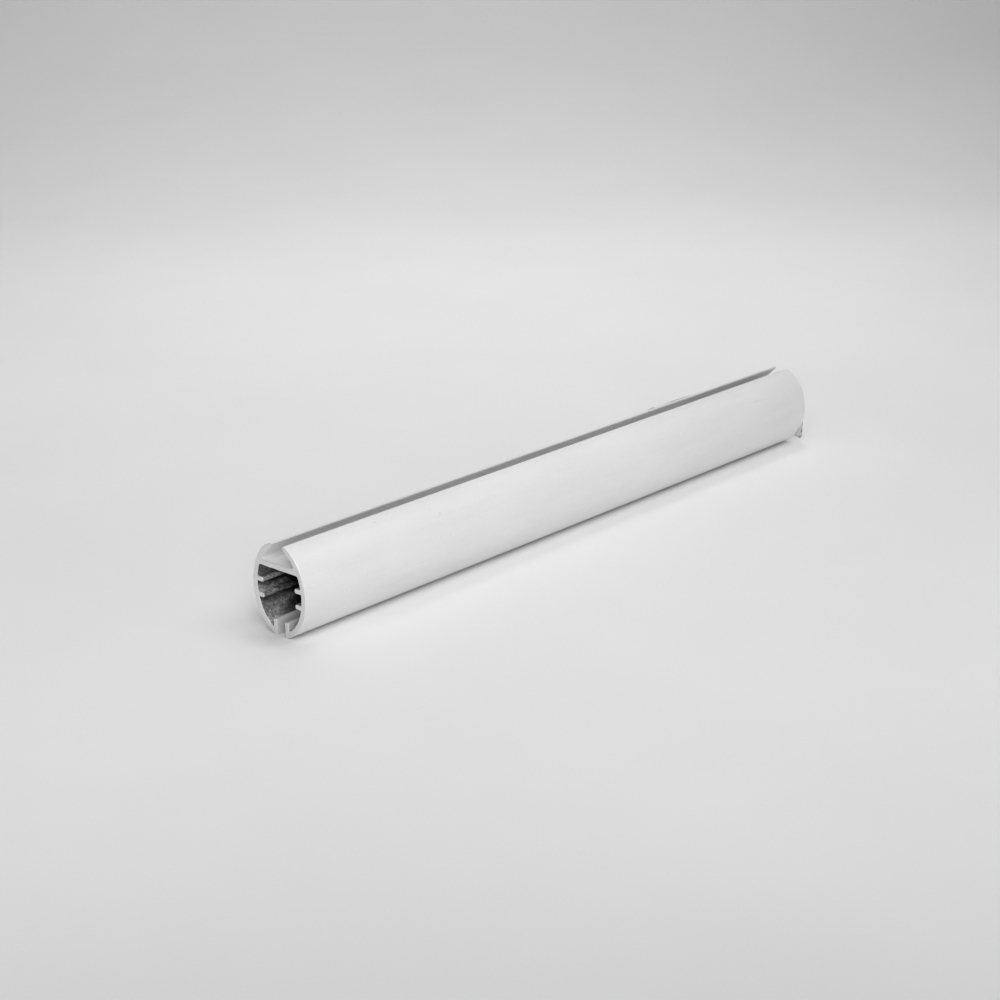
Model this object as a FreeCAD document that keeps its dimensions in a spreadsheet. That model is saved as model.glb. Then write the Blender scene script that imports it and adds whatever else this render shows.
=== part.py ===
"""Bottom rail of a roller blind: one sawn length of an oval aluminium extrusion.

Millimetres. X runs along the rail, Y across it and Z up. The rail stands on the two feet
beside its bottom slot, and the origin is under its middle, on the surface that it stands on.

The section, from the top down: two lips with a slot between them, the channel that holds the
fabric's spline, a flat floor under that channel, a main chamber with two pairs of ribs, and
two upright guides beside a slot that is open at the bottom.
"""
import FreeCAD, Part
import os

import Sketcher

DOC = FreeCAD.newDocument("bottom_rail")

SIZES = [
    # alias, millimetres, what it is
    ("rail_length", 268.0, "sawn length"),
    ("rail_width", 24.0, "full width of the oval"),
    ("rail_height", 30.8, "full height of the oval, before the slots are cut"),
    ("wall", 1.9, "outer wall"),
    ("floor_low", 6.8, "underside of the channel floor, above the oval's centre"),
    ("floor_thick", 1.9, "channel floor"),
    ("lip_gap", 5.0, "top slot, between the two lips"),
    ("rib_thick", 1.6, "each rib"),
    ("rib_reach", 7.2, "middle plane to a rib's tip"),
    ("rib_upper", 1.9, "middle of the upper ribs, above the centre"),
    ("rib_lower", -3.3, "middle of the lower ribs, above the centre"),
    ("guide_thick", 1.6, "each upright guide"),
    ("guide_top", -9.8, "top of the guides, above the centre"),
    ("slot_width", 3.6, "bottom slot, between the guides"),
    ("lip_round", 0.5, "rounding of the lips' outer corners"),
    ("spline_round", 1.1, "rounding of the lips' inner corners, where the spline bears"),
    ("rib_round", 0.7, "rounding of the ribs' tips"),
    ("guide_round", 0.5, "rounding of the guides' tops"),
    ("foot_round", 0.25, "rounding of the feet beside the bottom slot"),
    ("floor_round", 0.8, "fillet where the channel floor meets the wall"),
    ("root_round", 0.3, "fillet at the roots of the ribs and the guides"),
]


def make_sheet():
    """The driving dimensions, one row each, with an alias on the number."""
    sheet = DOC.addObject("Spreadsheet::Sheet", "Sizes")
    for row, (alias, millimetres, meaning) in enumerate(SIZES, start=1):
        sheet.set("A%d" % row, meaning)
        sheet.set("B%d" % row, str(millimetres))
        sheet.setAlias("B%d" % row, alias)
    DOC.recompute()
    return sheet


SHEET = make_sheet()

# Formulas over the sheet's cells. Heights are above the oval's centre, and distances are
# from the upright middle plane of the section.
FLOOR_HIGH = "(Sizes.floor_low + Sizes.floor_thick)"
HALF_GAP = "Sizes.lip_gap / 2"
SLOT_SIDE = "Sizes.slot_width / 2"
GUIDE_SIDE = "(Sizes.slot_width / 2 + Sizes.guide_thick)"
HOLLOW_LOW = "(Sizes.wall - Sizes.rail_height / 2)"
RIB_SIDES = [("%s - Sizes.rib_thick / 2" % middle, "%s + Sizes.rib_thick / 2" % middle)
             for middle in ("Sizes.rib_upper", "Sizes.rib_lower")]


def half_width_at(height, inset):
    """Formula: half width, at a height, of the oval that lies inset inside the outer one."""
    return ("(Sizes.rail_width / 2 - {0}) * sqrt(1 - pow(({1}) / (Sizes.rail_height / 2 - {0}); 2))"
            .format(inset, height))


def height_at(distance, inset):
    """Formula: height, at a distance from the middle, of the oval that lies inset inside."""
    return ("(Sizes.rail_height / 2 - {0}) * sqrt(1 - pow(({1}) / (Sizes.rail_width / 2 - {0}); 2))"
            .format(inset, distance))


def value(formula):
    """What a formula comes to, in millimetres."""
    return float(SHEET.evalExpression(formula))


def base_plane(body, role):
    """One of the body's own origin planes."""
    return next(plane for plane in body.Origin.OriginFeatures if plane.Role == role)


def section_sketch(body, name):
    """An empty sketch on the plane across the rail: its x is +Y and its y is +Z."""
    sketch = body.newObject("Sketcher::SketchObject", name)
    sketch.AttachmentSupport = [(base_plane(body, "YZ_Plane"), "")]
    sketch.MapMode = "FlatFace"
    return sketch


def bind(sketch, kind, geometry, formula):
    """Add a driving constraint whose size is a formula over the sheet."""
    index = sketch.addConstraint(Sketcher.Constraint(kind, *geometry, value(formula)))
    sketch.setExpression("Constraints[%d]" % index, formula)


def add_oval(sketch, inset):
    """An upright ellipse about the sketch's origin, inset inside the outer oval."""
    width = "Sizes.rail_width - 2 * %s" % inset
    height = "Sizes.rail_height - 2 * %s" % inset
    top = FreeCAD.Vector(0, value(height) / 2, 0)
    side = FreeCAD.Vector(value(width) / 2, 0, 0)
    oval = sketch.addGeometry(Part.Ellipse(top, side, FreeCAD.Vector(0, 0, 0)), False)
    sketch.exposeInternalGeometry(oval)
    major, minor = oval + 1, oval + 2
    sketch.addConstraint(Sketcher.Constraint("Coincident", oval, 3, -1, 1))
    sketch.addConstraint(Sketcher.Constraint("Vertical", major))
    bind(sketch, "Distance", (major,), height)
    bind(sketch, "Distance", (minor,), width)


def add_box(sketch, left, right, low, high):
    """A rectangle whose four sides are formulas, measured from the sketch's origin."""
    corners = [(left, low), (right, low), (right, high), (left, high)]
    points = [FreeCAD.Vector(value(x), value(y), 0) for x, y in corners]
    lines = [sketch.addGeometry(Part.LineSegment(start, end), False)
             for start, end in zip(points, points[1:] + points[:1])]
    for line, following in zip(lines, lines[1:] + lines[:1]):
        sketch.addConstraint(Sketcher.Constraint("Coincident", line, 2, following, 1))
    for line, direction in zip(lines, ("Horizontal", "Vertical") * 2):
        sketch.addConstraint(Sketcher.Constraint(direction, line))
    origin = (-1, 1)
    for formula, direction, line in ((left, "DistanceX", lines[0]), (low, "DistanceY", lines[0]),
                                     (right, "DistanceX", lines[2]), (high, "DistanceY", lines[2])):
        bind(sketch, direction, origin + (line, 1), formula)


def along_rail(body, kind, sketch, name):
    """A Pad or a Pocket of the sketch over the whole length, equally to both ends."""
    feature = body.newObject("PartDesign::" + kind, name)
    feature.Profile = sketch
    feature.Midplane = True
    feature.setExpression("Length", "Sizes.rail_length")
    DOC.recompute()
    body.Tip = feature
    return feature


def mirrored(body, feature, name):
    """The same feature again on the other side of the rail's upright middle plane."""
    mirror = body.newObject("PartDesign::Mirrored", name)
    mirror.Originals = [feature]
    mirror.MirrorPlane = (base_plane(body, "XZ_Plane"), [""])
    DOC.recompute()
    body.Tip = mirror
    return mirror


def edge_near(shape, y, z):
    """Name of the lengthwise edge that crosses the middle section nearest to (y, z)."""
    spot = FreeCAD.Vector(0, y, z)
    full_length = value("Sizes.rail_length")
    lengthwise = [number for number, edge in enumerate(shape.Edges, start=1)
                  if abs(edge.BoundBox.XLength - full_length) < 0.001]
    return "Edge%d" % min(lengthwise,
                          key=lambda number: shape.Edges[number - 1].CenterOfMass.distanceToPoint(spot))


def rounded(body, corners, radius, name):
    """Fillets on the lengthwise edges at the corners and at their mirror images."""
    base = body.Tip
    edges = [edge_near(base.Shape, side * value(distance), value(height))
             for distance, height in corners for side in (1, -1)]
    fillet = body.newObject("PartDesign::Fillet", name)
    fillet.Base = (base, edges)
    fillet.setExpression("Radius", radius)
    DOC.recompute()
    body.Tip = fillet


def make_oval_tube(body):
    """The outer wall."""
    sketch = section_sketch(body, "OvalSketch")
    add_oval(sketch, "0")
    along_rail(body, "Pad", sketch, "Oval")
    sketch = section_sketch(body, "HollowSketch")
    add_oval(sketch, "Sizes.wall")
    along_rail(body, "Pocket", sketch, "Hollow")


def make_cross_walls(body):
    """The channel's floor, the ribs and the guides, each from the middle of the wall inwards."""
    sketch = section_sketch(body, "FloorSketch")
    span = half_width_at(FLOOR_HIGH, "Sizes.wall / 2")
    add_box(sketch, "-" + span, span, "Sizes.floor_low", FLOOR_HIGH)
    along_rail(body, "Pad", sketch, "ChannelFloor")

    sketch = section_sketch(body, "RibSketch")
    for low, high in RIB_SIDES:
        add_box(sketch, "Sizes.rib_reach", half_width_at(low, "Sizes.wall / 2"), low, high)
    mirrored(body, along_rail(body, "Pad", sketch, "Ribs"), "RibsOpposite")

    sketch = section_sketch(body, "GuideSketch")
    add_box(sketch, SLOT_SIDE, GUIDE_SIDE, HOLLOW_LOW, "Sizes.guide_top")
    mirrored(body, along_rail(body, "Pad", sketch, "Guide"), "GuideOpposite")


def cut_slots(body):
    """The top slot into the channel, and the bottom slot between the guides."""
    sketch = section_sketch(body, "TopSlotSketch")
    add_box(sketch, "-" + HALF_GAP, HALF_GAP, FLOOR_HIGH, "Sizes.rail_height / 2")
    along_rail(body, "Pocket", sketch, "TopSlot")
    sketch = section_sketch(body, "BottomSlotSketch")
    add_box(sketch, "-" + SLOT_SIDE, SLOT_SIDE, "-Sizes.rail_height / 2", "Sizes.guide_top")
    along_rail(body, "Pocket", sketch, "BottomSlot")


def round_corners(body):
    """The corners, as the extrusion die leaves them."""
    rounded(body, [(HALF_GAP, height_at(HALF_GAP, "0"))], "Sizes.lip_round", "LipRounding")
    rounded(body, [(HALF_GAP, height_at(HALF_GAP, "Sizes.wall"))], "Sizes.spline_round", "SplineRounding")
    rounded(body, [("Sizes.rib_reach", side) for pair in RIB_SIDES for side in pair],
            "Sizes.rib_round", "RibRounding")
    rounded(body, [(SLOT_SIDE, "Sizes.guide_top"), (GUIDE_SIDE, "Sizes.guide_top")],
            "Sizes.guide_round", "GuideRounding")
    rounded(body, [(SLOT_SIDE, "-" + height_at(SLOT_SIDE, "0"))], "Sizes.foot_round", "FootRounding")
    floor_faces = ("Sizes.floor_low", FLOOR_HIGH)
    rounded(body, [(half_width_at(face, "Sizes.wall"), face) for face in floor_faces],
            "Sizes.floor_round", "FloorFillets")
    rounded(body, [(GUIDE_SIDE, "-" + height_at(GUIDE_SIDE, "Sizes.wall"))]
            + [(half_width_at(side, "Sizes.wall"), side) for pair in RIB_SIDES for side in pair],
            "Sizes.root_round", "RootFillets")


def make_rail():
    """The extruded rail, as one body that stands on its feet."""
    body = DOC.addObject("PartDesign::Body", "bottom_rail")
    body.Label = "bottom_rail"
    make_oval_tube(body)
    make_cross_walls(body)
    cut_slots(body)
    round_corners(body)
    lowest = body.Shape.optimalBoundingBox().ZMin
    body.Placement = FreeCAD.Placement(FreeCAD.Vector(0, 0, -lowest), FreeCAD.Rotation())
    DOC.recompute()
    return body


def check(parts):
    """Stop if any object failed or any sub-part's shape isn't one valid solid."""
    for thing in DOC.Objects:
        if "Invalid" in thing.State or "Error" in thing.State:
            raise RuntimeError("%s failed: %s" % (thing.Name, thing.State))
    for part in parts:
        if part.Shape.isNull() or not part.Shape.isValid() or len(part.Shape.Solids) != 1:
            raise RuntimeError("%s isn't one valid solid" % part.Label)


PARTS = [make_rail()]
check(PARTS)
os.makedirs("parts", exist_ok=True)
for part in PARTS:
    part.Shape.exportStep("parts/%s.step" % part.Label)
    box = part.Shape.optimalBoundingBox()
    print("%s: %.2f x %.2f x %.2f mm, %.0f mm3" % (part.Label, box.XLength, box.YLength,
                                                   box.ZLength, part.Shape.Volume))
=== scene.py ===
import math

import bpy
from mathutils import Euler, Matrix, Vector, noise


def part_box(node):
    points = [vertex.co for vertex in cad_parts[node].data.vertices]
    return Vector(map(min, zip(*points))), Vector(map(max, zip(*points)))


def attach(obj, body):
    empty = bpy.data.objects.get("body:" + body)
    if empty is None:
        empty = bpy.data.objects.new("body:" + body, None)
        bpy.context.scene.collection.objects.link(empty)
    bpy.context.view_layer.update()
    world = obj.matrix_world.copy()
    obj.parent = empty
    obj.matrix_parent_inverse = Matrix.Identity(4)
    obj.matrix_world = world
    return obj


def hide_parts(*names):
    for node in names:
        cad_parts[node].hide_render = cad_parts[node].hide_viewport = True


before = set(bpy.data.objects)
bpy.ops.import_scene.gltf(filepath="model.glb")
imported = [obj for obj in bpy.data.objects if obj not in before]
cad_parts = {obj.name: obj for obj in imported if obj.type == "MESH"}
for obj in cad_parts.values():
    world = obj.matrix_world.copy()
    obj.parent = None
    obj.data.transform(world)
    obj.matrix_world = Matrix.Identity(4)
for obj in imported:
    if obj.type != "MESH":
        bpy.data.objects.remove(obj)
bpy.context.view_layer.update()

RAIL_LOW, RAIL_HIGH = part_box("bottom_rail")
MM = 0.001


def add_object(name, data):
    """A new object in the scene."""
    made = bpy.data.objects.new(name, data)
    bpy.context.scene.collection.objects.link(made)
    return made


# --------------------------------------------------------------------------- section
OUTER = (12.0, 15.4)                # half width and half height of the outer oval
WALL = 1.9
INNER = (OUTER[0] - WALL, OUTER[1] - WALL)
FLOOR_LOW, FLOOR_HIGH = 6.8, 8.7    # the floor under the spline channel
HALF_GAP = 2.5                      # half of the top slot
# The chamfer under each lip: how far out it meets the channel's wall, and its height at the slot.
LIP_FOOT, LIP_TIP = 4.9, 14.2
# The bottom slot's half width, and the outer side and the top of the guide beside it.
HALF_SLOT, GUIDE_SIDE, GUIDE_TOP = 1.8, 3.4, -9.8
RIB_TIP = 7.2                       # distance of the ribs' ends from the middle plane
RIBS = ((-4.1, -2.5), (1.1, 2.7))   # underside and top of the lower and of the upper ribs
# Radii of the rounded corners.
CHANNEL_ROUND, CHAMBER_ROUND = 0.8, 0.8
LIP_UNDER_ROUND, LIP_OUTER_ROUND = 0.4, 0.3
SLOT_ROUND, GUIDE_ROUND = 0.25, 0.5
ROOT_ROUND, RIB_ROUND = 0.3, 0.7
ARC_STEPS = 6                       # stretches in each rounded corner
OVAL_STEP = 0.6                     # longest stretch elsewhere
SHORTEST_STEP = 0.15                # a point closer than this to a rounded corner is left out
COAT, BARE, SAWN, THIN_AND_SHADE = range(4)   # material slots of the rail


def across(oval, height):
    """Half width of an oval at a height."""
    return oval[0] * math.sqrt(1 - (height / oval[1]) ** 2)


def up(oval, distance):
    """Height of an oval at a distance from the middle plane."""
    return oval[1] * math.sqrt(1 - (distance / oval[0]) ** 2)


def half_section():
    """Corners of one half of the section, as (y, z, rounding, way to the next corner, zone)."""
    corners = [
        (0, FLOOR_HIGH, 0, None, COAT),
        (across(INNER, FLOOR_HIGH), FLOOR_HIGH, CHANNEL_ROUND, INNER, COAT),
        (LIP_FOOT, up(INNER, LIP_FOOT), CHANNEL_ROUND, None, COAT),
        (HALF_GAP, LIP_TIP, LIP_UNDER_ROUND, None, THIN_AND_SHADE),
        (HALF_GAP, up(OUTER, HALF_GAP), LIP_OUTER_ROUND, OUTER, COAT),
        (HALF_SLOT, -up(OUTER, HALF_SLOT), SLOT_ROUND, None, THIN_AND_SHADE),
        (HALF_SLOT, GUIDE_TOP, GUIDE_ROUND, None, THIN_AND_SHADE),
        (GUIDE_SIDE, GUIDE_TOP, GUIDE_ROUND, None, THIN_AND_SHADE),
        (GUIDE_SIDE, -up(INNER, GUIDE_SIDE), ROOT_ROUND, INNER, BARE),
    ]
    for low, high in RIBS:
        corners += [
            (across(INNER, low), low, ROOT_ROUND, None, BARE),
            (RIB_TIP, low, RIB_ROUND, None, BARE),
            (RIB_TIP, high, RIB_ROUND, None, BARE),
            (across(INNER, high), high, ROOT_ROUND, INNER, BARE),
        ]
    corners += [
        (across(INNER, FLOOR_LOW), FLOOR_LOW, CHAMBER_ROUND, None, BARE),
        (0, FLOOR_LOW, 0, None, BARE),
    ]
    return corners


def way(start, end, oval):
    """Close points from one corner to the next, along an oval or straight."""
    if oval is None:
        count = max(2, math.ceil(math.dist(start, end) / OVAL_STEP))
        return [(start[0] + (end[0] - start[0]) * i / count,
                 start[1] + (end[1] - start[1]) * i / count) for i in range(count + 1)]
    first, last = (math.atan2(p[0] / oval[0], p[1] / oval[1]) for p in (start, end))
    count = max(2, math.ceil(abs(last - first) * max(oval) / OVAL_STEP))
    angles = [first + (last - first) * i / count for i in range(count + 1)]
    return [(oval[0] * math.sin(a), oval[1] * math.cos(a)) for a in angles]


def trimmed(points, gap):
    """The points without the first stretch of that length."""
    points = list(points)
    while gap > 0:
        step = math.dist(points[0], points[1])
        if step > gap:
            t = gap / step
            points[0] = (points[0][0] + (points[1][0] - points[0][0]) * t,
                         points[0][1] + (points[1][1] - points[0][1]) * t)
            break
        gap -= step
        points.pop(0)
    if len(points) > 2 and math.dist(points[0], points[1]) < SHORTEST_STEP:
        points.pop(1)
    return points


def turn_between(before, after):
    """Angle between the end of one run of points and the start of the next."""
    a = math.atan2(before[-1][1] - before[-2][1], before[-1][0] - before[-2][0])
    b = math.atan2(after[1][1] - after[0][1], after[1][0] - after[0][0])
    return abs((b - a + math.pi) % (2 * math.pi) - math.pi)


def rounding(start, corner, end, turn):
    """Points of the arc that rounds a corner, without its two ends."""
    weight = math.cos(turn / 2)
    arc = []
    for i in range(1, ARC_STEPS):
        t = i / ARC_STEPS
        shares = ((1 - t) ** 2, 2 * weight * t * (1 - t), t * t)
        arc.append(tuple(sum(s * p[k] for s, p in zip(shares, (start, corner, end))) / sum(shares)
                         for k in (0, 1)))
    return arc


def whole_section():
    """The section's closed outline: a list of (y, z) and a list of each stretch's zone."""
    corners = half_section()
    runs = [way(a[:2], b[:2], a[3]) for a, b in zip(corners, corners[1:])]
    turns = [turn_between(a, b) for a, b in zip(runs, runs[1:])]
    for i, turn in enumerate(turns):
        gap = corners[i + 1][2] * math.tan(turn / 2)
        runs[i] = trimmed(runs[i][::-1], gap)[::-1]
        runs[i + 1] = trimmed(runs[i + 1], gap)
    points, zones = [], []
    for i, run in enumerate(runs):
        points += run
        zones += [corners[i][4]] * len(run)
        if i < len(turns):
            arc = rounding(run[-1], corners[i + 1][:2], runs[i + 1][0], turns[i])
            points += arc
            zones += [corners[i + 1][4]] * len(arc)
            zones[-len(arc) - 1] = corners[i + 1][4]
    mirrored = [(-y, z) for y, z in points[-2:0:-1]]
    return points + mirrored, zones[:-1] + zones[-2::-1]


def normals_of(loop):
    """Unit vectors that point out of the section, one at each point, and the way it runs round."""
    area = sum(a[0] * b[1] - b[0] * a[1] for a, b in zip(loop, loop[1:] + loop[:1]))
    side = 1 if area > 0 else -1
    out = []
    for before, after in zip(loop[-1:] + loop[:-1], loop[1:] + loop[:1]):
        dy, dz = after[0] - before[0], after[1] - before[1]
        length = math.hypot(dy, dz)
        out.append((side * dz / length, -side * dy / length))
    return out, side


# --------------------------------------------------------------------------- rail
HALF_LONG = (RAIL_HIGH.x - RAIL_LOW.x) / 2 / MM
# Rings at each cut end, as (distance back from the cut, inset into the metal). The last one is
# the edge of the sawn face.
END_RINGS = ((6.0, 0), (3.0, 0), (1.4, 0), (0.7, 0), (0.35, 0), (0.16, 0.01), (0.06, 0.05),
             (0.0, 0.13))
SAWN_RINGS = 2                      # stretches between rings at each end that are bare metal
MIDDLE_RINGS = 60
BURR = 0.10                         # how far the saw's burr stands off the edge at most
BURR_OUT, BURR_ALONG = 0.35, 0.8    # shares of it that go outwards and along the rail
BURR_INSET = 0.1                    # rings with an inset of less than this carry the burr
# Its coarse and its fine waves: scale, shift between the ends, and height.
BURR_WAVES = ((0.55, 7.3, 1.3), (2.3, 3.1, 0.6))


def burr_at(y, z, end):
    """How much of a burr the saw left at a point of the section, from -1 to 1."""
    waves = [noise.noise(Vector((y * fine, z * fine, shift * end))) * height
             for fine, shift, height in BURR_WAVES]
    return max(-1, min(1, sum(waves)))


# The coat scraped up into low ridges along one lip: middle and half length along X, and height.
RIDGES = ((71.5, 13.5, 0.5), (55.5, 3.6, 0.65))
RIDGE_PLACE, RIDGE_HALF = 4.3, 0.8  # distance from the middle plane, and half width
RIDGE_LEVEL, RIDGE_WAVE = 0.75, 0.6     # how much of the height is even, and uneven
RIDGE_RINGS = range(50, 90)         # a ring at each of these millimetres along X
RING_CLEAR = 0.6                    # other rings keep this far away from those


def ridge_at(x, y, z):
    """How far the scraped coat stands off the rail at a place, in millimetres."""
    side = 1 - ((y - RIDGE_PLACE) / RIDGE_HALF) ** 2
    if z < 0 or side <= 0:
        return 0
    high = max(top * (1 - ((x - middle) / half) ** 2) for middle, half, top in RIDGES)
    ragged = RIDGE_LEVEL + RIDGE_WAVE * noise.noise(Vector((x * 0.4, 5.1, 0)))
    return max(0, high) * side * max(0, ragged)


def ring_stations():
    """Every ring from the near end to the far end: place along X, inset, and which end it is at."""
    inside = HALF_LONG - END_RINGS[0][0]
    even = [-inside + 2 * inside * i / MIDDLE_RINGS for i in range(1, MIDDLE_RINGS)]
    low, high = RIDGE_RINGS[0] - RING_CLEAR, RIDGE_RINGS[-1] + RING_CLEAR
    middle = sorted([x for x in even if not low < x < high] + list(RIDGE_RINGS))
    return ([(-HALF_LONG + back, inset, -1) for back, inset in reversed(END_RINGS)]
            + [(x, 0, 0) for x in middle]
            + [(HALF_LONG - back, inset, 1) for back, inset in END_RINGS])


def rail_rings(loop, normals):
    """The points of every ring of the rail, in millimetres."""
    rings = []
    for x, inset, end in ring_stations():
        ring = []
        for (y, z), (ny, nz) in zip(loop, normals):
            burr = burr_at(y, z, end) * BURR if 0 < inset < BURR_INSET else 0
            move = burr * BURR_OUT - inset
            if end == 0:
                move += ridge_at(x, y, z)
            ring.append((x + end * max(0, burr) * BURR_ALONG, y + ny * move, z + nz * move))
        rings.append(ring)
    return rings


# The sliver that the saw left at the far end, low on one side: where it starts and ends on the
# outer oval, in degrees from +Y, how far it stands out beyond the cut, how far it is bent
# outwards there, and how thick it is.
SLIVER_ARC = (201, 232.5)
SLIVER_REACH, SLIVER_BEND, SLIVER_THICK = 3.0, 2.0, 0.5
SLIVER_ROOT, SLIVER_SINK = 0.5, 0.03    # how far it starts before the cut, and under the surface
SLIVER_STEPS, SLIVER_ROWS = 28, 8
SLIVER_GROWTH = 1.6                 # the power by which it grows along its arc
SLIVER_BLUNT, SLIVER_DROP = 0.93, 6     # from this share of the arc it drops off, at this rate
SLIVER_RAGGED, SLIVER_RIPPLE = 0.16, 0.05
SLIVER_TAPER = 0.25                 # share of its thickness that it loses towards its rim
# The torn rim's darker bare tone is partly painted shade along the sliver's edges.
SLIVER_SHADED_RIM = 2                      # steps and rows along its torn rim that have no coat


def sliver_places():
    """Points of the sliver, in millimetres about the oval's centre: outer and inner by turns."""
    places = []
    for i in range(SLIVER_STEPS + 1):
        share = i / SLIVER_STEPS
        turn = math.radians(SLIVER_ARC[0] + (SLIVER_ARC[1] - SLIVER_ARC[0]) * share)
        spot = Vector((0, OUTER[0] * math.cos(turn), OUTER[1] * math.sin(turn)))
        out = Vector((0, math.cos(turn) / OUTER[0], math.sin(turn) / OUTER[1])).normalized()
        ragged = SLIVER_RAGGED * noise.noise(Vector((i * 0.45, 2.7, 0.0)))
        blunt = 1 - max(0.0, share - SLIVER_BLUNT) * SLIVER_DROP
        reach = SLIVER_REACH * (share ** SLIVER_GROWTH * blunt + ragged * share)
        for k in range(SLIVER_ROWS + 1):
            along = k / SLIVER_ROWS
            x = HALF_LONG - SLIVER_ROOT + (reach + SLIVER_ROOT) * along
            ripple = SLIVER_RIPPLE * noise.noise(Vector((i * 0.3, k * 0.4, 9)))
            curl = SLIVER_BEND * share * along * along + ripple
            thick = SLIVER_THICK * (1 - SLIVER_TAPER * along)
            for depth in (SLIVER_SINK, thick + SLIVER_SINK):
                places.append(spot + out * (curl - depth) + Vector((x, 0, 0)))
    return places


def sliver_faces():
    """Faces of the sliver, and their slots: bare, but for a thin coat on the outer side inside
    its torn rim. The rim's darker bare tone is partly painted shade along its edges."""
    row = 2 * (SLIVER_ROWS + 1)
    faces, slots = [], []
    for i in range(SLIVER_STEPS):
        for k in range(SLIVER_ROWS):
            a, b = i * row + 2 * k, (i + 1) * row + 2 * k
            faces += [(a, a + 2, b + 2, b), (a + 1, b + 1, b + 3, a + 3)]
            inside = i < SLIVER_STEPS - SLIVER_SHADED_RIM and k < SLIVER_ROWS - SLIVER_SHADED_RIM
            # The bare rim's darker tone partly stands in for shade along the sliver's edges.
            slots += [THIN_AND_SHADE if inside else BARE, BARE]
    for i in range(SLIVER_STEPS):
        a, b = i * row, (i + 1) * row
        faces += [(a, b, b + 1, a + 1), (a + row - 2, a + row - 1, b + row - 1, b + row - 2)]
    for k in range(SLIVER_ROWS):
        a, b = 2 * k, SLIVER_STEPS * row + 2 * k
        faces += [(a, a + 1, a + 3, a + 2), (b, b + 2, b + 3, b + 1)]
    slots += [BARE] * (len(faces) - len(slots))
    return faces, slots


def wall_faces(ring_count, zones, side):
    """Faces between the rings, and their slots."""
    count = len(zones)
    faces, slots = [], []
    for r in range(ring_count - 1):
        sawn = r < SAWN_RINGS or r >= ring_count - 1 - SAWN_RINGS
        for i in range(count):
            j = (i + 1) % count
            quad = (r * count + i, r * count + j, (r + 1) * count + j, (r + 1) * count + i)
            faces.append(quad if side > 0 else quad[::-1])
            slots.append(SAWN if sawn else zones[i])
    return faces, slots


def make_rail():
    """The whole extrusion as one mesh, with its zones as material slots."""
    loop, zones = whole_section()
    normals, side = normals_of(loop)
    rings = rail_rings(loop, normals)
    lowest = min(z for _, z in loop)
    places = [Vector((x, y, z - lowest)) * MM for ring in rings for x, y, z in ring]
    faces, slots = wall_faces(len(rings), zones, side)
    smooth = [True] * len(faces)
    near = list(range(len(loop)))
    far = list(range(len(places) - len(loop), len(places)))
    faces += [near[::-1], far] if side > 0 else [near, far[::-1]]
    slots += [SAWN, SAWN]
    smooth += [False, False]
    first = len(places)
    places += [(p - Vector((0, 0, lowest))) * MM for p in sliver_places()]
    added, added_slots = sliver_faces()
    faces += [tuple(first + v for v in face) for face in added]
    slots += added_slots
    smooth += [True] * len(added)
    mesh = bpy.data.meshes.new("rail")
    mesh.from_pydata(places, [], faces)
    mesh.polygons.foreach_set("material_index", slots)
    mesh.polygons.foreach_set("use_smooth", smooth)
    mesh.update()
    return add_object("rail", mesh)


# --------------------------------------------------------------------------- nodes
NOISE_SPAN = (0.3, 0.7)             # most of a noise texture's values lie between these


def node(tree, kind, inputs=None, **settings):
    """A new node. Each input is a value, or a socket to link to it."""
    made = tree.nodes.new(kind)
    for name, setting in settings.items():
        setattr(made, name, setting)
    for name, given in (inputs or {}).items():
        socket = made.inputs[name]
        if isinstance(given, bpy.types.NodeSocket):
            tree.links.new(given, socket)
        else:
            socket.default_value = given
    return made


def new_material(name):
    """A material with an empty tree, its Principled shader and the object's coordinates."""
    material = bpy.data.materials.new(name)
    material.use_nodes = True
    tree = material.node_tree
    tree.nodes.clear()
    shader = node(tree, "ShaderNodeBsdfPrincipled")
    node(tree, "ShaderNodeOutputMaterial", {"Surface": shader.outputs["BSDF"]})
    place = node(tree, "ShaderNodeTexCoord").outputs["Object"]
    return material, tree, shader, place


def maths(tree, operation, a, b=0.0):
    """One Math node's value."""
    return node(tree, "ShaderNodeMath", {0: a, 1: b}, operation=operation).outputs["Value"]


def vector_maths(tree, operation, a, b=(0, 0, 0)):
    """One Vector Math node."""
    return node(tree, "ShaderNodeVectorMath", {0: a, 1: b}, operation=operation)


def weighted(tree, *parts):
    """The sum of some values, each times its weight."""
    total = 0.0
    for value, weight in parts:
        total = maths(tree, "ADD", total, maths(tree, "MULTIPLY", value, weight))
    return total


def axis(tree, place, name):
    """One axis of the coordinates."""
    return node(tree, "ShaderNodeSeparateXYZ", {"Vector": place}).outputs[name]


def stretched(tree, place, scale):
    """Coordinates scaled by a factor for each axis."""
    return node(tree, "ShaderNodeMapping", {"Vector": place, "Scale": scale}).outputs["Vector"]


def cloud(tree, place, scale, detail=2.0, roughness=0.5):
    """A noise texture's value."""
    made = node(tree, "ShaderNodeTexNoise", {"Vector": place, "Scale": scale, "Detail": detail,
                                             "Roughness": roughness})
    return made.outputs["Fac"]


def ramp(tree, value, low, high, out_low=0.0, out_high=1.0):
    """The value carried smoothly from one range to another, and held at its ends."""
    made = node(tree, "ShaderNodeMapRange", {"Value": value, "From Min": low, "From Max": high,
                                             "To Min": out_low, "To Max": out_high},
                interpolation_type="SMOOTHSTEP")
    return made.outputs["Result"]


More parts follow.
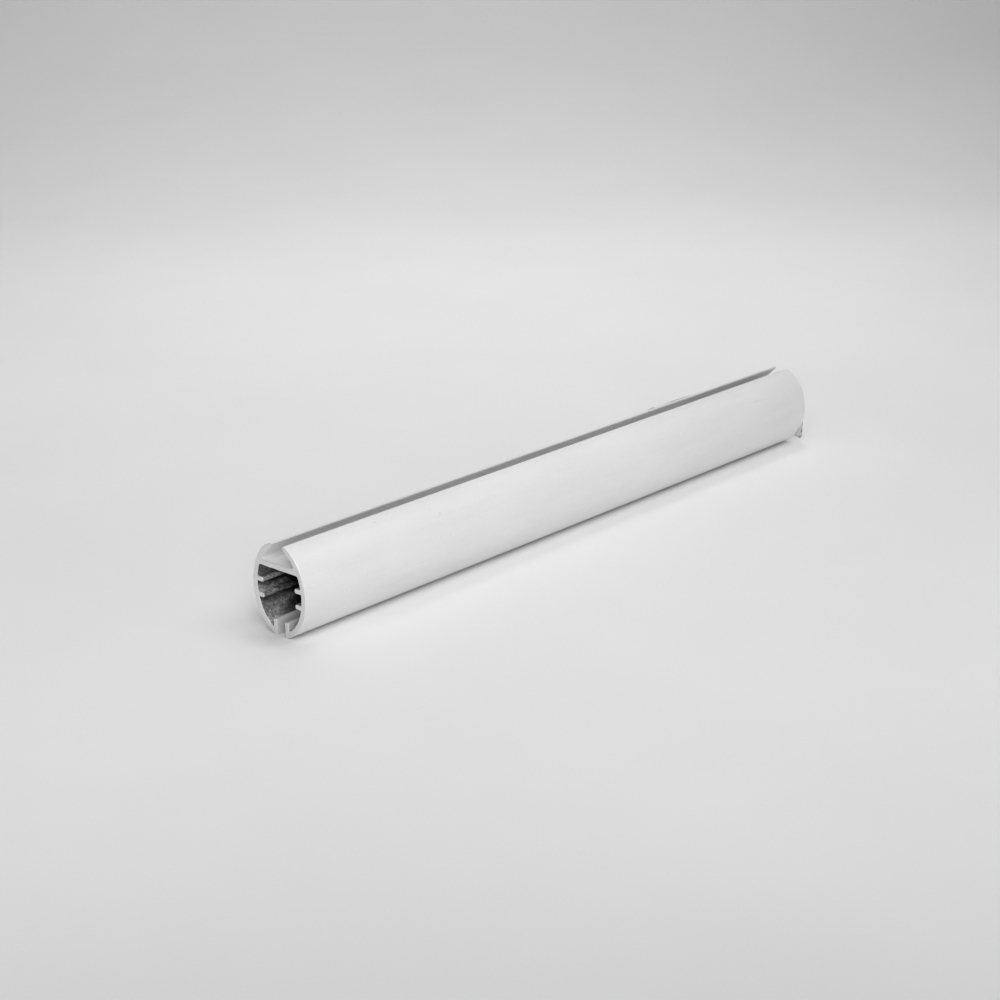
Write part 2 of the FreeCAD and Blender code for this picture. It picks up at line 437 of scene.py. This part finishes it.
def stepped(tree, value, steps, unit=1.0, blend="LINEAR"):
    """The tone that a table of (value, tone) gives. The unit is the table's own, in metres."""
    low, high = steps[0][0], steps[-1][0]
    share = node(tree, "ShaderNodeMapRange", {"Value": value, "From Min": low * unit,
                                              "From Max": high * unit}).outputs["Result"]
    made = node(tree, "ShaderNodeValToRGB", {"Fac": share})
    made.color_ramp.interpolation = blend
    stops = made.color_ramp.elements
    for at, tone in steps:
        place = (at - low) / (high - low)
        if place == 0:
            stop = stops[0]
        elif place == 1:
            stop = stops[-1]
        else:
            stop = stops.new(place)
        stop.position, stop.color = place, (tone, tone, tone, 1)
    return made.outputs["Color"]


def finish(tree, shader, tone, roughness, height, depth):
    """Link a grey tone, a roughness, and a bump of that depth in millimetres to the shader."""
    grey = node(tree, "ShaderNodeCombineColor", {"Red": tone, "Green": tone, "Blue": tone})
    bump = node(tree, "ShaderNodeBump", {"Height": height, "Distance": depth * MM,
                                         "Strength": 1.0})
    tree.links.new(grey.outputs["Color"], shader.inputs["Base Color"])
    tree.links.new(roughness, shader.inputs["Roughness"])
    tree.links.new(bump.outputs["Normal"], shader.inputs["Normal"])


# --------------------------------------------------------------------------- materials
# Tone and roughness of each finish: of its darkest or smoothest patches and of its palest or
# roughest ones.
COAT_TONES, COAT_ROUGHNESS = (0.72, 0.75), (0.36, 0.46)
# The thin coat's darker tones are partly painted shade of the narrow slots and guides.
THIN_AND_SHADE_TONES, THIN_ROUGHNESS = (0.51, 0.60), (0.5, 0.66)
BARE_TONES, BARE_ROUGHNESS = (0.24, 0.56), (0.6, 0.8)
SAWN_TONES, SAWN_ROUGHNESS = (0.80, 0.93), (0.42, 0.58)

MARK_DEPTH = 0.05                   # how much darker specks and fine scratches are
SHADE_ALONG, SHADE_UP = (10, 140), (3, 16)    # where painted shade on the coat grows, X and Z: darker towards the far end and higher up
SHADE_DEPTH = 0.085
EDGE_REACH, EDGE_WEAR_AND_SHADE = 0.4, 0.25   # broken coat and painted shade at each cut edge: its reach and its depth
WORN_AND_SHADED_TONE = 0.42                    # share of the tone that is left where the coat is gone, and under the darkest painted shade
# Marks in the coat: middle, half sizes, raggedness and depth. First the scrape along the lip in
# two parts, then nicks, then painted shade in the crease at the sliver's root, and a scratch
# on the other lip.
SCUFFS_AND_CREASE_SHADE = (
    ((71.5, 4.4, 29.9), (13.5, 0.9, 1.1), 0.8, 0.95),
    ((55.5, 4.4, 29.9), (3.6, 0.9, 1.1), 0.7, 1.0),
    ((-98, -5.5, 28.9), (1.3, 0.5, 0.5), 0.8, 0.3),
    ((-72, -8.9, 25.6), (0.7, 0.6, 0.8), 0.9, 0.35),
    ((-20, -4.6, 29.4), (2.2, 0.25, 0.4), 0.8, 0.4),
    ((22, -3.6, 29.8), (1.6, 0.25, 0.4), 0.8, 0.35),
    ((104, -9.6, 24.4), (5.0, 0.5, 0.9), 0.9, 0.25),
    # painted shade in the crease at the sliver's root
    ((133.6, -9.3, 5.3), (1.0, 2.6, 3.2), 0.5, 1.0),
    ((127, -3.0, 29.95), (6.0, 0.35, 0.35), 0.8, 0.5),
)

# Painted light and shade in the chamber, as a share of the tone by height above the rail's
# underside in millimetres: most on the upper side of each rib and low down, least under the ribs
# and under the channel's floor, where shade falls.
CHAMBER_LIGHT = ((0.0, 1.0), (6.2, 1.0), (8.8, 0.3), (10.9, 0.08), (11.0, 0.7), (12.5, 0.95), (14.0, 0.6),
        (15.2, 0.18), (16.1, 0.08), (16.2, 0.7), (17.7, 0.8), (19.4, 0.45), (21.8, 0.1),
        (22.0, 0.1))
CHAMBER_LIGHT_REACH = (1, 12.5)              # the painted light fades into painted shade between these distances from a cut
CHAMBER_LIGHT_WANDER = 4                     # those distances vary by this much either way
CHAMBER_LIGHT_LOW, CHAMBER_LIGHT_DEEPER = (6, 11), 6  # below these heights it reaches this much deeper
GRAIN_SHARES = (0.45, 1.5)          # the fine grain multiplies the tone by between these
DEEPEST_TONE = 0.003

SAW_PLACE = (0, 0.07, 0.09)         # metres from the saw's axis to the rail's underside
SAW_PITCH = 0.34                    # between the saw's arcs
SAW_SHAKE = 1.1                     # how far the arcs wander


def back_from_cut(tree, place):
    """Distance back from the nearer cut."""
    along = axis(tree, place, "X")
    return maths(tree, "SUBTRACT", HALF_LONG * MM, maths(tree, "ABSOLUTE", along))


def near_cut(tree, place, reach):
    """1 at the rail's two cut edges, 0 farther back than about the reach in millimetres."""
    ragged = maths(tree, "MULTIPLY", cloud(tree, place, 700.0, 3.0, 0.6), reach * MM)
    back = maths(tree, "ADD", back_from_cut(tree, place), ragged)
    return ramp(tree, back, reach * 0.55 * MM, reach * 0.8 * MM, 1.0, 0.0)


def scuff(tree, place, middle, half, edge):
    """1 inside an ellipsoid with that middle and those half sizes in millimetres, 0 outside."""
    moved = vector_maths(tree, "SUBTRACT", place, [m * MM for m in middle]).outputs["Vector"]
    sized = vector_maths(tree, "DIVIDE", moved, [h * MM for h in half]).outputs["Vector"]
    size = vector_maths(tree, "LENGTH", sized).outputs["Value"]
    wobble = maths(tree, "MULTIPLY", cloud(tree, place, 600.0, 3.0, 0.6), edge)
    return ramp(tree, maths(tree, "ADD", size, wobble), 0.8, 1.2, 1.0, 0.0)


def coat_wear_and_shade(tree, place):
    """How far the coat's tone drops, from 0 to 1: worn coat and painted shade at each cut edge,
    worn coat in each scuff, and painted shade in the crease at the sliver's root.
    """
    # Worn coat at each cut edge, darkened partly as painted shade along the edge.
    worn_and_shaded = maths(tree, "MULTIPLY", near_cut(tree, place, EDGE_REACH), EDGE_WEAR_AND_SHADE)
    for middle, half, edge, depth in SCUFFS_AND_CREASE_SHADE:
        mark = maths(tree, "MULTIPLY", scuff(tree, place, middle, half, edge), depth)
        worn_and_shaded = maths(tree, "MAXIMUM", worn_and_shaded, mark)
    return worn_and_shaded


def powder_coat():
    """White satin powder coat: orange peel, die lines, rubbed patches, specks, scratches, wear, and
    painted shade at the cut edges, at the sliver's root and growing towards the far end."""
    material, tree, shader, place = new_material("powder_coat")
    patches = cloud(tree, stretched(tree, place, (18, 60, 60)), 1.0, 3.0)
    rubbed = cloud(tree, stretched(tree, place, (45, 220, 220)), 1.0, 4.0, 0.6)
    specks = ramp(tree, cloud(tree, place, 900.0, 1.0), 0.70, 0.78)
    streaks = cloud(tree, stretched(tree, place, (70, 2600, 2600)), 1.0, 2.0, 0.7)
    scratches = ramp(tree, streaks, 0.66, 0.72)
    peel = cloud(tree, place, 1300.0, 1.0)
    lines = cloud(tree, stretched(tree, place, (3, 900, 900)), 1.0, 2.0)
    # Painted shade: the coat darkens towards the far end and higher up, for the light's fall-off.
    far_shade = maths(tree, "MULTIPLY",
                 ramp(tree, axis(tree, place, "X"), *(x * MM for x in SHADE_ALONG)),
                 ramp(tree, axis(tree, place, "Z"), *(z * MM for z in SHADE_UP), 0.0, SHADE_DEPTH))
    clean = weighted(tree, (ramp(tree, patches, *NOISE_SPAN, *COAT_TONES), 1.0),
                     (ramp(tree, rubbed, 0.35, 0.7), -0.02), (specks, -MARK_DEPTH),
                     (scratches, -MARK_DEPTH), (far_shade, -1.0))
    kept = ramp(tree, coat_wear_and_shade(tree, place), 0.0, 1.0, 1.0, WORN_AND_SHADED_TONE)
    roughness = weighted(tree, (ramp(tree, rubbed, *NOISE_SPAN, *COAT_ROUGHNESS), 1.0),
                         (scratches, 0.12))
    height = weighted(tree, (peel, 0.5), (lines, 0.35), (scratches, -0.4))
    finish(tree, shader, maths(tree, "MULTIPLY", clean, kept), roughness, height, 0.018)
    return material


def thin_coat_and_shade():
    """A duller, darker coat on the sides of the slots and the guides: partly a thinner coat, partly
    painted shade of these narrow faces. The sliver's outer side has it too."""
    material, tree, shader, place = new_material("thin_coat_and_shade")
    patches = cloud(tree, stretched(tree, place, (60, 420, 420)), 1.0, 3.0, 0.6)
    dust = cloud(tree, place, 1400.0, 2.0, 0.7)
    lines = cloud(tree, stretched(tree, place, (3, 1100, 1100)), 1.0, 2.0)
    tone = weighted(tree, (ramp(tree, patches, *NOISE_SPAN, *THIN_AND_SHADE_TONES), 1.0),
                    (ramp(tree, dust, 0.45, 0.75), -0.05))
    finish(tree, shader, tone, ramp(tree, dust, *NOISE_SPAN, *THIN_ROUGHNESS),
           weighted(tree, (dust, 0.6), (lines, 1.0)), 0.02)
    return material


def bare_aluminium():
    """The chamber's wall: dull dark aluminium, mottled by the die, with painted light near the cuts
    and painted shade deep inside and under the ribs.
    """
    material, tree, shader, place = new_material("bare_aluminium")
    blots = cloud(tree, stretched(tree, place, (110, 230, 230)), 1.0, 3.0, 0.6)
    grain = cloud(tree, place, 1150.0, 2.0, 0.7)
    high = axis(tree, place, "Z")
    wander = ramp(tree, blots, *NOISE_SPAN, CHAMBER_LIGHT_WANDER * MM, -CHAMBER_LIGHT_WANDER * MM)
    deeper = ramp(tree, high, *(z * MM for z in CHAMBER_LIGHT_LOW), -CHAMBER_LIGHT_DEEPER * MM, 0.0)
    back = weighted(tree, (back_from_cut(tree, place), 1.0), (wander, 1.0), (deeper, 1.0))
    near = ramp(tree, back, *(x * MM for x in CHAMBER_LIGHT_REACH), 1.0, 0.0)
    # Painted light and shade: lighter near the cuts, above the ribs and low down; darker deep
    # inside and under the ribs.
    painted_light = maths(tree, "MULTIPLY", stepped(tree, high, CHAMBER_LIGHT, MM), near)
    mottled = maths(tree, "MULTIPLY", ramp(tree, blots, 0.36, 0.64, *BARE_TONES),
                    ramp(tree, grain, 0.32, 0.68, *GRAIN_SHARES))
    tone = maths(tree, "ADD", maths(tree, "MULTIPLY", mottled, painted_light), DEEPEST_TONE)
    shader.inputs["Metallic"].default_value = 0.1
    finish(tree, shader, tone, ramp(tree, grain, *NOISE_SPAN, *BARE_ROUGHNESS),
           weighted(tree, (grain, 1.0), (blots, 1.0)), 0.04)
    return material


def sawn_aluminium():
    """The cut face: bright satin aluminium with the saw's fine arcs."""
    material, tree, shader, place = new_material("sawn_aluminium")
    centre = node(tree, "ShaderNodeMapping", {"Vector": place, "Location": SAW_PLACE,
                                              "Scale": (0, 1, 1)}).outputs["Vector"]
    radius = weighted(tree, (vector_maths(tree, "LENGTH", centre).outputs["Value"], 1.0),
                      (cloud(tree, place, 160.0, 2.0), SAW_SHAKE * MM))
    turns = maths(tree, "MULTIPLY", radius, 2 * math.pi / (SAW_PITCH * MM))
    fine = cloud(tree, place, 2600.0, 2.0, 0.7)
    marks = weighted(tree, (maths(tree, "SINE", turns), 0.5), (fine, 1.2))
    shader.inputs["Metallic"].default_value = 1.0
    finish(tree, shader, ramp(tree, marks, -0.3, 1.5, *SAWN_TONES),
           ramp(tree, fine, *NOISE_SPAN, *SAWN_ROUGHNESS), marks, 0.012)
    return material


# --------------------------------------------------------------------------- stage
CAMERA_PLACE = (-0.48255, -0.41681, 0.22675)
CAMERA_TURN = (71.1846, 1.1155, -47.5001)      # degrees about X, Y and Z
CAMERA_LENS = 67.985
CAMERA_CLIP = (0.01, 50)
FLOOR_BACK, FLOOR_SIDE = 3.0, 3.0
FLOOR_HEADING = 47.12                          # the floor's length runs this many degrees from +Y
SWEEP_START, SWEEP_RADIUS = 0.62, 1.0          # metres beyond the rail's middle
SWEEP_TURN, SWEEP_STEPS = 55, 24               # degrees that it curves up by, and its steps
# Painted light on the floor, a pool of light with darker ends and sides: its tone by the distance
# along it in metres, how it falls off sideways, by the distance and by its square, its darkest
# tone, and how much its faint clouds vary it.
FLOOR_PAINTED_LIGHT = ((-0.60, 0.40), (-0.36, 0.56), (-0.27, 0.727), (-0.20, 0.79), (-0.12, 0.825),
               (0.0, 0.785), (0.20, 0.815), (0.40, 0.855), (0.62, 0.905), (0.90, 0.835),
               (1.2, 0.75), (1.7, 0.66), (2.6, 0.57))
FLOOR_PAINTED_SIDE_FALL = (0.24, 0.3)
FLOOR_PAINTED_DARKEST, FLOOR_CLOUDS = 0.45, 0.008
FLOOR_ROUGHNESS = (0.75, 0.85)
WORLD_STRENGTH = 0.15
# The lights: name, place, size, power, spread in degrees, and the place that it faces.
LIGHTS = (
    ("key", (0.30, -0.85, 1.35), 1.0, 8.2, 180, (0, 0, 0)),
    ("front", (-0.80, -0.74, 1.05), 1.0, 9.6, 180, (0, 0, 0)),
    ("back", (0.660, 0.612, 1.3), 1.5, 2.7, 180, (0, 0, 0)),
    ("low", (-0.970, -1.309, 0.45), 1.0, 7.2, 180, (0, 0, 0)),
    ("pool", (0.330, 0.306, 1.3), 0.6, 0.35, 45, (0.220, 0.204, 0)),
    ("sweep", (0.550, 0.510, 1.3), 0.8, 0.36, 60, (0.550, 0.510, 0)),
)


def make_floor():
    """A pale floor that curves up gently far behind the rail."""
    profile = [(-FLOOR_BACK, 0.0), (0.0, 0.0), (SWEEP_START, 0.0)]
    for i in range(1, SWEEP_STEPS + 1):
        turn = math.radians(SWEEP_TURN) * i / SWEEP_STEPS
        profile.append((SWEEP_START + SWEEP_RADIUS * math.sin(turn),
                        SWEEP_RADIUS * (1 - math.cos(turn))))
    places, faces = [], []
    for along, high in profile:
        places += [(-FLOOR_SIDE, along, high), (FLOOR_SIDE, along, high)]
    for i in range(len(profile) - 1):
        faces.append((2 * i, 2 * i + 1, 2 * i + 3, 2 * i + 2))
    mesh = bpy.data.meshes.new("floor")
    mesh.from_pydata(places, [], faces)
    mesh.polygons.foreach_set("use_smooth", [True] * len(faces))
    floor = add_object("floor", mesh)
    floor.rotation_euler = (0, 0, -math.radians(FLOOR_HEADING))
    return floor


def floor_painted_light():
    """Matt pale board with painted light: brightest a little behind the rail, darker towards both
    ends and sideways, with faint clouds.
    """
    material, tree, shader, place = new_material("floor_painted_light")
    clouds = cloud(tree, place, 9.0, 3.0, 0.6)
    side = axis(tree, place, "X")
    square = maths(tree, "POWER", maths(tree, "ABSOLUTE", side), 2.0)
    slope, curve = FLOOR_PAINTED_SIDE_FALL
    # Painted light: a pool of light along the floor that falls off sideways and towards the ends.
    along = stepped(tree, axis(tree, place, "Y"), FLOOR_PAINTED_LIGHT, blend="B_SPLINE")
    tone = weighted(tree, (along, 1.0), (side, -slope), (square, -curve))
    tone = maths(tree, "MAXIMUM", tone, FLOOR_PAINTED_DARKEST)
    tone = maths(tree, "ADD", tone, ramp(tree, clouds, *NOISE_SPAN, -FLOOR_CLOUDS, FLOOR_CLOUDS))
    finish(tree, shader, tone, ramp(tree, clouds, *NOISE_SPAN, *FLOOR_ROUGHNESS),
           cloud(tree, place, 700.0, 2.0), 0.01)
    return material


def make_light(name, place, size, power, spread, target):
    """A square area light that faces the target."""
    lamp = bpy.data.lights.new(name, "AREA")
    lamp.spread = math.radians(spread)
    lamp.shape, lamp.size, lamp.energy = "SQUARE", size, power
    light = add_object(name, lamp)
    light.location = place
    light.rotation_euler = (Vector(target) - Vector(place)).to_track_quat("-Z", "Y").to_euler()


def make_camera():
    """The camera that took the photograph, as it was fitted to the rail's edges."""
    camera = add_object("camera", bpy.data.cameras.new("camera"))
    camera.data.lens = CAMERA_LENS
    camera.data.clip_start, camera.data.clip_end = CAMERA_CLIP
    camera.location = CAMERA_PLACE
    camera.rotation_euler = Euler([math.radians(a) for a in CAMERA_TURN], "XYZ")
    bpy.context.scene.camera = camera


def make_world():
    """Dim even light from all around."""
    world = bpy.data.worlds.new("studio")
    world.use_nodes = True
    background = world.node_tree.nodes["Background"]
    background.inputs["Color"].default_value = (1, 1, 1, 1)
    background.inputs["Strength"].default_value = WORLD_STRENGTH
    bpy.context.scene.world = world
    bpy.context.scene.view_settings.view_transform = "Standard"


rail = make_rail()
for material in (powder_coat(), bare_aluminium(), sawn_aluminium(), thin_coat_and_shade()):
    rail.data.materials.append(material)
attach(rail, "root")
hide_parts("bottom_rail")

floor = make_floor()
floor.data.materials.append(floor_painted_light())
make_camera()
make_world()
for light in LIGHTS:
    make_light(*light)
